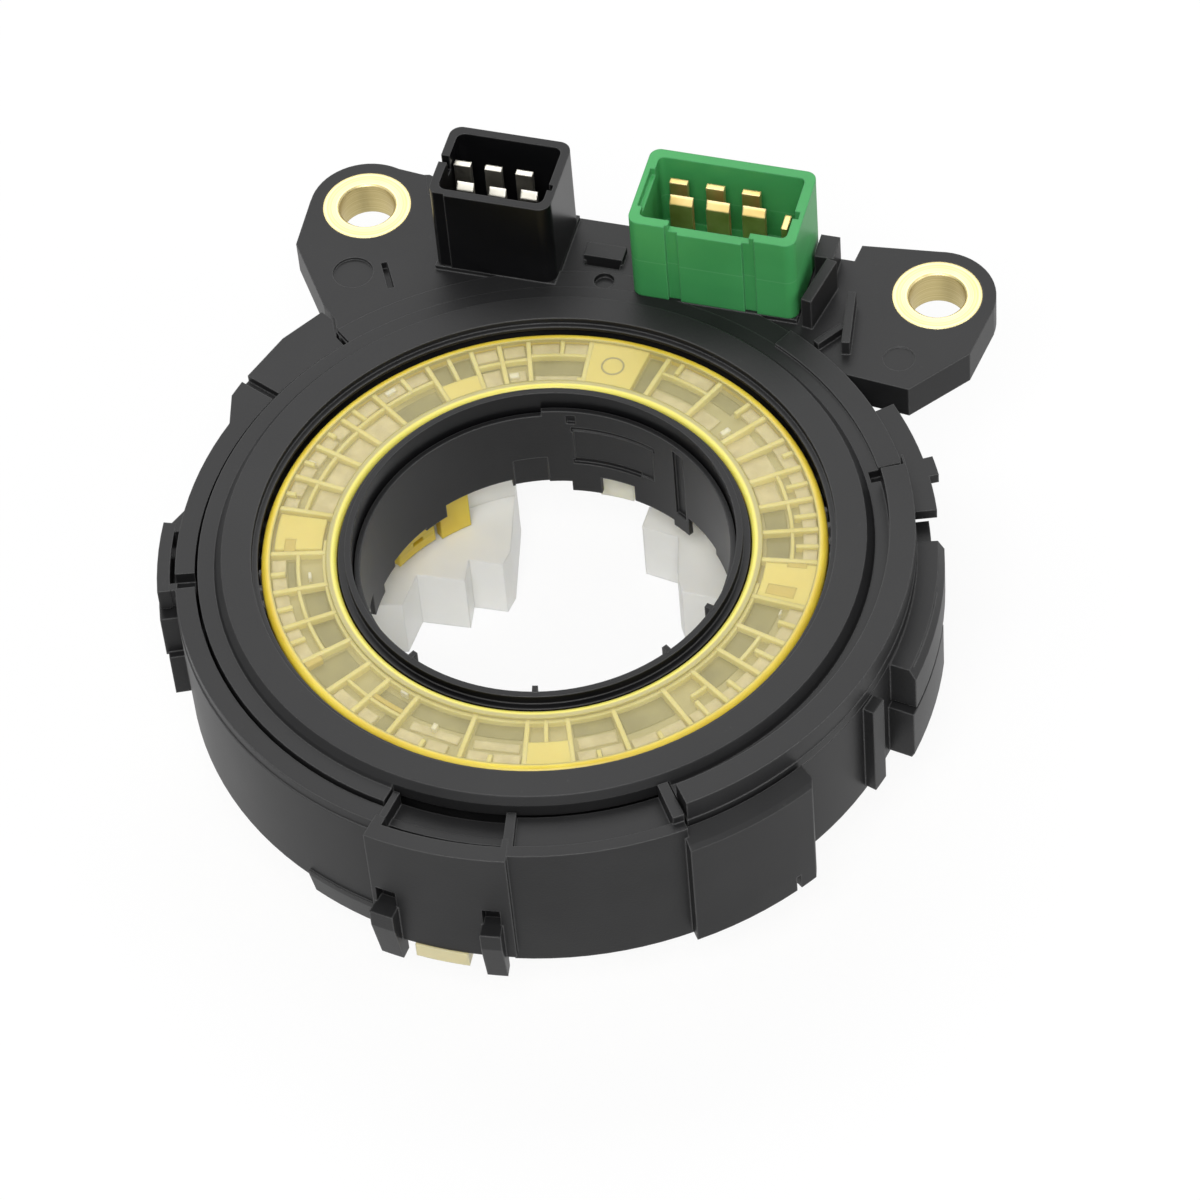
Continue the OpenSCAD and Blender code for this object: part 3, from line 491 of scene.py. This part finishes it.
shortRibs = [(12.4, 31), (21, 31), (30, 31), (39, 32.4), (55.6, 31.4), (74, 32), (101.3, 31.6),
             (126.6, 29.7), (137.8, 31.2), (151, 31.4), (159, 32.6), (168, 32.4), (177.2, 32.6),
             (199.8, 32), (209.6, 31.8), (219, 31.8), (259, 32.4), (274, 32.4), (297, 32.4),
             (310.5, 32.4), (321.6, 31), (330.6, 31.2), (341, 31), (350.4, 31.4)]
innerRibs = [(285.9, 30.3), (96.2, 27.8)]
middleArcs = [(8, 25.6, 30.6), (25.6, 34.6, 30.6), (95, 108.8, 31.5), (108.8, 121.4, 31),
              (131.6, 145.2, 31.2), (145.2, 154.4, 31.2), (154.4, 163.2, 30.9), (163.2, 181.6, 30.6),
              (194.2, 204.8, 30.4), (204.8, 224.7, 30.6), (234.2, 251.4, 30.7), (321.6, 326.6, 30),
              (336.2, 345.4, 30.4), (64.1, 77.4, 31.4)]
pads = [(-4.2, 7, 27.5, 33.9), (82, 95, 26.9, 33.9), (121.4, 131.6, 26.9, 29.8), (183.2, 193, 27.5, 33.4),
        (281.3, 291.4, 30.3, 33.9)]
outerBlocks = [(8.8, 12), (12.9, 16.4), (17.6, 20.6), (21.4, 25), (26.3, 29.6), (30.5, 34), (35.4, 42.3),
               (43.8, 49.8), (51.2, 54.8), (65.6, 73.4), (95.7, 100.8), (102, 108.1), (109.7, 114.4),
               (115.9, 120.7), (132.6, 137.3), (138.5, 144.4), (146.1, 150.5), (151.6, 153.8),
               (155.3, 158.6), (159.5, 162.5), (164, 167.5), (168.5, 171.7), (173.2, 176.8), (177.8, 181),
               (195.5, 199.2), (200.5, 204), (205.5, 209.1), (210.1, 213.9), (215.4, 218.6),
               (219.6, 223.8), (235.4, 241), (242.8, 246.8), (252.6, 258.4), (259.7, 264.4), (269, 273.5),
               (274.6, 280.4), (292.6, 296.5), (297.6, 302.5), (304.4, 310), (311, 316.4), (318.4, 321.1),
               (322.2, 325.8), (327.2, 330.2), (331.1, 335.4), (337, 340.5), (341.5, 344.8), (346.4, 350),
               (350.9, 355)]
innerBlocks = [(35.4, 42.3, 27.3, 30.9, 4.64), (43.8, 49.8, 27.3, 30.9, 4.56),
               (26.4, 33.9, 27.3, 30.1, 4.52), (57, 63.4, 27.3, 29.6, 4.60), (65, 76.6, 27.2, 29, 4.56),
               (110, 114.2, 27.8, 29.4, 4.92), (116.2, 120.6, 27.6, 30.2, 4.76),
               (146, 153.6, 27.3, 30.6, 4.68), (155.3, 162.5, 27.3, 30.3, 4.68),
               (164, 171.7, 27.3, 30.1, 4.64), (173.2, 181, 27.3, 30.1, 4.64),
               (96.4, 107.8, 27.2, 28.6, 4.52), (254, 266, 30, 31.2, 4.60), (269.4, 280, 30, 31.2, 4.60),
               (293, 302, 29.6, 31.2, 4.60)]
shadeTiles = [(96, 108, 28.8, 31.1), (122, 126, 30, 33.5), (127.2, 131, 30, 33.5),
              (78.2, 81.6, 27.2, 33.6), (252.4, 266.8, 27.2, 29.5), (268.8, 280.4, 27.2, 29.3),
              (292.4, 302.4, 27.2, 29.3), (304.2, 316.4, 27.2, 30.6), (132.6, 144.4, 27.4, 30.2),
              (195.4, 204, 30.8, 31.8), (109.7, 114.4, 30.6, 31.7), (116, 120.7, 30.6, 31.7),
              (8.8, 16.3, 27.4, 30.2), (17.6, 24.9, 27.4, 30.1), (205.5, 213.9, 27.4, 30.1),
              (215.3, 224, 27.4, 30.1), (226, 233.6, 28, 33.2), (247.2, 250.8, 31, 33.4),
              (242.6, 250.8, 28.2, 29.6), (346, 354.9, 27.4, 30.8), (337, 344.8, 27.4, 30),
              (327.4, 335.6, 27.6, 30.6), (57, 63.4, 31.2, 33.2), (65, 76.6, 29.4, 31)]
# painted shade: darker golden strips along pad and rib edges and in the pad recesses
goldShadeTiles = [(357.2, 360.4, 28.4, 32), (190, 193.8, 30.8, 32.2), (242.4, 250.9, 29.8, 30.4),
             (225, 226.6, 31.4, 33.6), (6, 7.4, 30.2, 32.6)]
glints = [(53, 28, 29.3, 0.7), (113, 28.2, 29, 1.2), (141.6, 32.6, 33.2, 1.5), (167.4, 32.4, 33.4, 0.3),
          (201, 28.8, 29.2, 0.9), (259.5, 29.7, 30.6, 0.6), (247.6, 27.4, 27.7, 1.1),
          (353, 31, 31.2, 0.8)]


def blockPoints(name, rows):  # rows: direction, inner radius, outer radius, width, low, high
    mesh = bpy.data.meshes.new(name)
    centres = []
    for a, r0, r1, width, low, high in rows:
        middle = (r0 + r1) / 2 * mm
        centres.append((middle * cos(radians(a)), middle * sin(radians(a)), (low + high) / 2 * mm))
    mesh.from_pydata(centres, [], [])
    for key in ("turn", "span", "width", "height"):
        mesh.attributes.new(key, "FLOAT", "POINT")
    for i, (a, r0, r1, width, low, high) in enumerate(rows):
        for key, value in (("turn", radians(a)), ("span", (r1 - r0) * mm), ("width", width * mm),
                           ("height", (high - low) * mm)):
            mesh.attributes[key].data[i].value = value
    return mesh


def blockTree():
    tree = bpy.data.node_groups.new("blockSet", "GeometryNodeTree")
    tree.interface.new_socket(name="Geometry", in_out="INPUT", socket_type="NodeSocketGeometry")
    tree.interface.new_socket(name="Width Scale", in_out="INPUT", socket_type="NodeSocketFloat")
    tree.interface.new_socket(name="Material", in_out="INPUT", socket_type="NodeSocketMaterial")
    tree.interface.new_socket(name="Geometry", in_out="OUTPUT", socket_type="NodeSocketGeometry")
    add = tree.nodes.new
    gin, gout = add("NodeGroupInput"), add("NodeGroupOutput")
    cube = add("GeometryNodeMeshCube")
    cube.inputs["Size"].default_value = (1.0, 1.0, 1.0)
    instance = add("GeometryNodeInstanceOnPoints")

    def attribute(name):
        node = add("GeometryNodeInputNamedAttribute")
        node.data_type = "FLOAT"
        node.inputs["Name"].default_value = name
        return [s for s in node.outputs if s.enabled][0]

    widen = add("ShaderNodeMath")
    widen.operation = "MULTIPLY"
    tree.links.new(attribute("width"), widen.inputs[0])
    tree.links.new(gin.outputs["Width Scale"], widen.inputs[1])
    turnVector, sizeVector = add("ShaderNodeCombineXYZ"), add("ShaderNodeCombineXYZ")
    tree.links.new(attribute("turn"), turnVector.inputs["Z"])
    tree.links.new(attribute("span"), sizeVector.inputs["X"])
    tree.links.new(widen.outputs[0], sizeVector.inputs["Y"])
    tree.links.new(attribute("height"), sizeVector.inputs["Z"])
    tree.links.new(gin.outputs["Geometry"], instance.inputs["Points"])
    tree.links.new(cube.outputs["Mesh"], instance.inputs["Instance"])
    tree.links.new(turnVector.outputs[0], instance.inputs["Rotation"])
    tree.links.new(sizeVector.outputs[0], instance.inputs["Scale"])
    realize, setMaterial = add("GeometryNodeRealizeInstances"), add("GeometryNodeSetMaterial")
    tree.links.new(instance.outputs["Instances"], realize.inputs["Geometry"])
    tree.links.new(realize.outputs["Geometry"], setMaterial.inputs["Geometry"])
    tree.links.new(gin.outputs["Material"], setMaterial.inputs["Material"])
    tree.links.new(setMaterial.outputs["Geometry"], gout.inputs["Geometry"])
    return tree


def evaluated(carrier, tree, values):
    bpy.context.scene.collection.objects.link(carrier)
    modifier = carrier.modifiers.new("nodes", "NODES")
    modifier.node_group = tree
    identifiers = {item.name: item.identifier for item in tree.interface.items_tree if item.in_out == "INPUT"}
    for key, value in values.items():
        modifier[identifiers[key]] = value
    bpy.context.view_layer.update()
    result = bpy.data.meshes.new_from_object(carrier.evaluated_get(bpy.context.evaluated_depsgraph_get()))
    carrier.modifiers.clear()
    bpy.data.objects.remove(carrier)
    return result


def blockSet(name, rows, tree, materialName):
    mesh = evaluated(bpy.data.objects.new(name, blockPoints(name, rows)), tree,
                     {"Width Scale": 1.0, "Material": materials[materialName]})
    return newObject(name, mesh, materials[materialName], "rotor")


def sweptPiece(name, sweeps, materialName, stepDegrees=3.0):  # sweeps: section points, start, end
    bm = bmesh.new()
    for section, start, end in sweeps:
        addRevolved(bm, section, start, end, stepDegrees)
    return newObject(name, finishMesh(bm, name), materials[materialName], "rotor")


def square(r0, r1, z0, z1):
    return [(r0, z0), (r1, z0), (r1, z1), (r0, z1)]


def roundedTop(r0, r1, z0, z1, radius, outside, steps=5):  # square section with one rounded top corner
    turns = [radians(90 * i / steps) for i in range(steps + 1)]
    corner = [(radius * cos(t), radius * sin(t)) for t in turns]
    if outside:
        rounded = [(r1 - radius + x, z1 - radius + y) for x, y in corner] + [(r0, z1)]
    else:
        rounded = [(r1, z1)] + [(r0 + radius - y, z1 - radius + x) for x, y in corner]
    return [(r0, z0), (r1, z0)] + rounded


def ringTabs(look):
    inner, tubeOut, join = look["innerRadius"], look["tubeOuter"], look["tubeLowZ"] + look["tabJoin"]
    barb = square(tubeOut - look["tabJoin"], tubeOut + look["barbReach"], look["barbLowZ"], look["barbTopZ"])
    inset = look["barbInset"]
    tabs = []
    for start, end, tipZ in snapTabs:
        tabs.append((square(inner, tubeOut, tipZ, join), start, end))
        tabs.append((barb, start + inset, end - inset))
    start, end = slitTab["start"], slitTab["end"]
    low, high = slitTab["slitLowZ"] - slitTab["overlap"], slitTab["slitTopZ"] + slitTab["overlap"]
    tabs.append((square(inner, tubeOut, slitTab["lowZ"], slitTab["slitLowZ"]), start, end))
    tabs.append((square(inner, tubeOut, slitTab["slitTopZ"], join), start, end))
    tabs.append((square(inner, tubeOut, low, high), start, slitTab["slitStart"]))
    tabs.append((square(inner, tubeOut, low, high), slitTab["slitEnd"], end))
    tabs.append((barb, start + inset, end - inset))
    return tabs


def buildRingBody(look):
    inner, outer, low, top = look["innerRadius"], look["outerRadius"], look["lowZ"], look["topZ"]
    outerWall = roundedTop(outer - look["outerBand"], outer, look["wallLowZ"], top, look["edgeRound"], True)
    innerWall = roundedTop(inner, inner + look["innerBand"], low, top, look["innerRound"], False)
    tube = square(inner, look["tubeOuter"], look["tubeLowZ"], low + look["tubeJoin"])
    sweeps = [(outerWall, 0, 360), (innerWall, 0, 360), (tube, 0, 360)]
    body = sweptPiece("amberRingBody", sweeps + ringTabs(look), "amberBody")
    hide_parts("rotor_ring")


def buildRingCells(look):
    tree = blockTree()
    low, top, floorTop = look["lowZ"], look["topZ"], look["floorTop"]
    bandIn = look["innerRadius"] + look["innerBand"]
    bandOut = look["outerRadius"] - look["outerBand"]
    ribIn, ribOut, ribTop = bandIn - look["ribReach"], bandOut + look["ribReach"], top - look["ribDrop"]
    thick, thin = look["ribThickness"], look["ribThickness"] * look["thinShare"]
    half = look["arcHalf"]
    join = look["floorJoin"]
    # painted shade: a darker olive floor under the skin stands in for the shade inside the cells
    cellShadeFloor = square(bandIn - join, bandOut + join, low - look["floorSink"], floorTop)
    sweptPiece("amberRingFloor", [(cellShadeFloor, 0, 360)], "amberCells")
    # ribs in the brighter amberRibs colour, a painted glow of light scattered in them
    ribRows = [(a, ribIn, ribOut, thick, low, ribTop) for a in fullRibs]
    stubTop = ribTop - look["stubDrop"]
    ribRows += [(a, r, ribOut, thin, low, stubTop) for a, r in shortRibs]
    ribRows += [(a, ribIn, r, thin, low, stubTop) for a, r in innerRibs]
    blockSet("amberRingRibs", ribRows, tree, "amberRibs")
    arcTop = ribTop - look["arcDrop"]
    sweptPiece("amberRingArcs", [(square(r - half, r + half, low, arcTop), start, end)
                                 for start, end, r in middleArcs + [bandArc]], "amberRibs")
    for name, tiles, height, material in (
            ("amberRingPads", pads, ribTop - look["padDrop"], "amberPads"),
            ("amberRingShade", shadeTiles, floorTop + look["shadeRise"], "amberShade"),
            # darker golden strips of painted shade at edges and in recesses
            ("amberRingGold", goldShadeTiles, ribTop - look["goldDrop"], "amberDeep")):
        sweeps = [(square(r0, r1, low, height), start, end) for start, end, r0, r1 in tiles]
        sweptPiece(name, sweeps, material)
    blockOut = bandOut - look["blockGap"]
    blockRows = [((start + end) / 2, look["blockInner"], blockOut, radians(end - start) * look["blockMiddle"],
                  low, look["blockTop"]) for start, end in outerBlocks]
    blockRows += [((start + end) / 2, r0, r1, radians(end - start) * (r0 + r1) / 2, low, blockTop)
                  for start, end, r0, r1, blockTop in innerBlocks]
    blockSet("amberRingBlocks", blockRows, tree, "amberBlocks")
    glintTop = ribTop - look["glintDrop"]
    glintRows = [(a, r0, r1, width, low, glintTop) for a, r0, r1, width in glints]
    blockSet("amberRingGlints", glintRows, tree, "amberGlints")
    join = look["skinJoin"]
    skin = square(bandIn - join, bandOut + join, top - look["skin"], top - look["skinDrop"])
    sweptPiece("amberRingSkin", [(skin, 0, 360)], "amberSkin", 2.0)


def buildRingMark(look):  # small raised circle on the back pad
    top = look["topZ"] - look["ribDrop"]
    radius, direction = look["markRadius"], radians(look["markDirection"])
    bm = bmesh.new()
    section = square(look["markInner"], look["markOuter"], top - look["markDepth"], top)
    addRevolved(bm, section, stepDegrees=10)
    centre = (radius * mm * cos(direction), radius * mm * sin(direction), 0)
    bmesh.ops.translate(bm, verts=bm.verts, vec=centre)
    newObject("amberRingMark", finishMesh(bm, "amberRingMark"), materials["amberCells"], "rotor")


def buildAmberRing(look):
    buildRingBody(look)
    buildRingCells(look)
    paleOut, paleTop = look["tubeOuter"] - look["paleGap"], look["tubeLowZ"] + paleTab["join"]
    pale = square(look["innerRadius"], paleOut, paleTab["lowZ"], paleTop)
    sweptPiece("amberPaleTab", [(pale, paleTab["start"], paleTab["end"])], "amberPale")
    buildRingMark(look)


buildAmberRing(amberRing)
print("amber ring built")

earWeb = {
    "outline": [(-32.6, 54.1), (-24.9, 54.2), (-25.0, 54.6), (-28.2, 56.7), (-31.5, 57.85), (-32.6, 57.6)],
    "lowZ": 0.2, "topZ": 4.97,
}


def buildEarWeb(look):  # joins the left ear to the deck behind the black header
    bm = bmesh.new()
    low = [bm.verts.new((x * mm, y * mm, look["lowZ"] * mm)) for x, y in look["outline"]]
    high = [bm.verts.new((x * mm, y * mm, look["topZ"] * mm)) for x, y in look["outline"]]
    bm.faces.new(list(reversed(low)))
    bm.faces.new(high)
    for i in range(len(low)):
        k = (i + 1) % len(low)
        bm.faces.new((low[i], low[k], high[k], high[i]))
    newObject("earWeb", finishMesh(bm, "earWeb"), materials["blackMoulding"], "stator")


buildEarWeb(earWeb)
print("ear web built")


studio = {"floorGap": 0.0003, "floorSize": 4.0, "floorShade": 0.9, "paper": 0.9, "worldLight": 0.36}
lamps = [  # name, position, target, size, power
    ("softboxAbove", (-0.2, 0.5, 0.7), (0, 0, 0), (0.8, 0.5), 3.8),
    ("softboxRight", (0.75, -0.1, 0.35), (0.02, 0, 0), (0.25, 0.6), 1.2),
    ("softboxFront", (0.1, -0.5, 0.75), (0, 0, -0.01), (0.4, 0.3), 5.0),
]
photoView = {
    "position": (0.1449, -0.3952, 0.5132), "right": (0.96402644, 0.25895252, -0.05997173),
    "down": (0.16553103, -0.76139912, -0.62679411), "forward": (-0.20797234, 0.59431891, -0.77687357),
    "lens": 160.82, "sensor": 36.0,
}


def seenDirectly(tree, rays):  # 1 for the rays that show the backdrop, 0 for those that only light the part
    seen = mathNode(tree, "ADD", rays.outputs["Is Camera Ray"], rays.outputs["Is Glossy Ray"], True)
    return mathNode(tree, "ADD", seen, rays.outputs["Is Transmission Ray"], True)


def buildStage(look):
    material = bpy.data.materials.new("paperFloor")
    material.use_nodes = True
    tree = material.node_tree
    tree.nodes.clear()
    output = tree.nodes.new("ShaderNodeOutputMaterial")
    matte = tree.nodes.new("ShaderNodeBsdfDiffuse")
    matte.inputs["Color"].default_value = (look["paper"], look["paper"], look["paper"], 1)
    glow = tree.nodes.new("ShaderNodeEmission")
    rays = tree.nodes.new("ShaderNodeLightPath")
    seen = seenDirectly(tree, rays)
    mix = tree.nodes.new("ShaderNodeMixShader")
    tree.links.new(mathNode(tree, "MULTIPLY", seen, look["floorShade"]), mix.inputs[0])
    tree.links.new(matte.outputs[0], mix.inputs[1])
    tree.links.new(glow.outputs[0], mix.inputs[2])
    clear = tree.nodes.new("ShaderNodeBsdfTransparent")  # seen from below, the floor shows the underside
    sides = tree.nodes.new("ShaderNodeMixShader")
    under = mathNode(tree, "MULTIPLY", tree.nodes.new("ShaderNodeNewGeometry").outputs["Backfacing"],
                     rays.outputs["Is Camera Ray"])
    tree.links.new(under, sides.inputs[0])
    tree.links.new(mix.outputs[0], sides.inputs[1])
    tree.links.new(clear.outputs[0], sides.inputs[2])
    tree.links.new(sides.outputs[0], output.inputs["Surface"])
    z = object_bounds()[0][2] - look["floorGap"]
    half = look["floorSize"] / 2
    corners = [(-half, -half, z), (half, -half, z), (half, half, z), (-half, half, z)]
    mesh = bpy.data.meshes.new("floor")
    mesh.from_pydata(corners, [], [(0, 1, 2, 3)])
    mesh.materials.append(material)
    floor = bpy.data.objects.new("floor", mesh)
    bpy.context.scene.collection.objects.link(floor)
    floor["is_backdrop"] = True


def addLamp(name, position, target, size, power):
    lamp = bpy.data.lights.new(name, "AREA")
    lamp.shape = "RECTANGLE"
    lamp.size, lamp.size_y = size
    lamp.energy = power
    lampObject = bpy.data.objects.new(name, lamp)
    lampObject.location = position
    lampObject.rotation_euler = (Vector(target) - Vector(position)).to_track_quat("-Z", "Y").to_euler()
    bpy.context.scene.collection.objects.link(lampObject)


def buildLight(look):
    world = bpy.data.worlds.new("studioWorld")
    bpy.context.scene.world = world
    world.use_nodes = True
    tree = world.node_tree
    tree.nodes.clear()
    output = tree.nodes.new("ShaderNodeOutputWorld")
    soft = tree.nodes.new("ShaderNodeBackground")
    soft.inputs["Color"].default_value = (1, 1, 1, 1)
    rays = tree.nodes.new("ShaderNodeLightPath")
    level = remap(tree, seenDirectly(tree, rays), look["worldLight"], 1.0)
    tree.links.new(level, soft.inputs["Strength"])
    tree.links.new(soft.outputs[0], output.inputs["Surface"])
    for lamp in lamps:
        addLamp(*lamp)


def buildCamera(look):
    camera = bpy.data.cameras.new("photoCamera")
    camera.lens = look["lens"]
    camera.sensor_width = look["sensor"]
    camera.clip_start, camera.clip_end = 0.05, 20.0
    cameraObject = bpy.data.objects.new("photoCamera", camera)
    bpy.context.scene.collection.objects.link(cameraObject)
    right, down, forward = Vector(look["right"]), Vector(look["down"]), Vector(look["forward"])
    matrix = Matrix((right, -down, -forward)).transposed().to_4x4()
    matrix.translation = Vector(look["position"])
    cameraObject.matrix_world = matrix
    bpy.context.scene.camera = cameraObject


buildStage(studio)
buildLight(studio)
buildCamera(photoView)
bpy.context.scene.view_settings.view_transform = "Standard"
print("stage, light and camera set")
